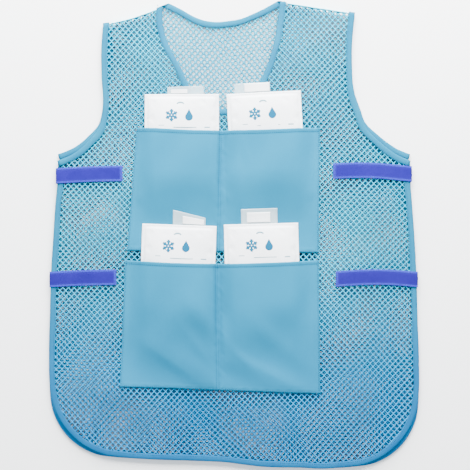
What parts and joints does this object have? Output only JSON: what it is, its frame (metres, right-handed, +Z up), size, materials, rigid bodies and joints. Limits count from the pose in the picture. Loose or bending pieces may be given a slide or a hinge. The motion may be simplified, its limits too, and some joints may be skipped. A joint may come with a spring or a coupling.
{
  "type": "cooling vest",
  "caption": "Sleeveless net cooling vest, laid flat, with white ice packs standing in front pockets, bound edges and hook-and-loop side straps.",
  "frame": {"origin": "middle of the vest's footprint, on the surface it lies on", "axes": "+Z up out of the front, +Y towards the neck, +X to the right as seen from above"},
  "size_m": [0.5556, 0.702, 0.0269],
  "materials": {
    "net_cloth": "coarse knitted net",
    "edge_tape": "woven binding tape",
    "pocket_cloth": "plain woven cloth",
    "pack_film": "white nonwoven film",
    "sleeve_film": "clear film",
    "strap_tape": "hook-and-loop tape"
  },
  "bodies": {
    "root": {"front_panel": "net_cloth", "back_panel": "net_cloth", "neck_binding": "edge_tape", "left_armhole_binding": "edge_tape", "right_armhole_binding": "edge_tape", "front_edge_binding": "edge_tape", "back_edge_binding": "edge_tape", "upper_pocket": "pocket_cloth", "lower_pocket": "pocket_cloth", "upper_left_ice_pack": "pack_film", "upper_right_ice_pack": "pack_film", "lower_left_ice_pack": "pack_film", "lower_right_ice_pack": "pack_film", "upper_left_filler_sleeve": "sleeve_film", "upper_right_filler_sleeve": "sleeve_film", "lower_left_filler_sleeve": "sleeve_film", "lower_right_filler_sleeve": "sleeve_film", "upper_left_strap": "strap_tape", "upper_right_strap": "strap_tape", "lower_left_strap": "strap_tape", "lower_right_strap": "strap_tape"}
  },
  "joints": []
}
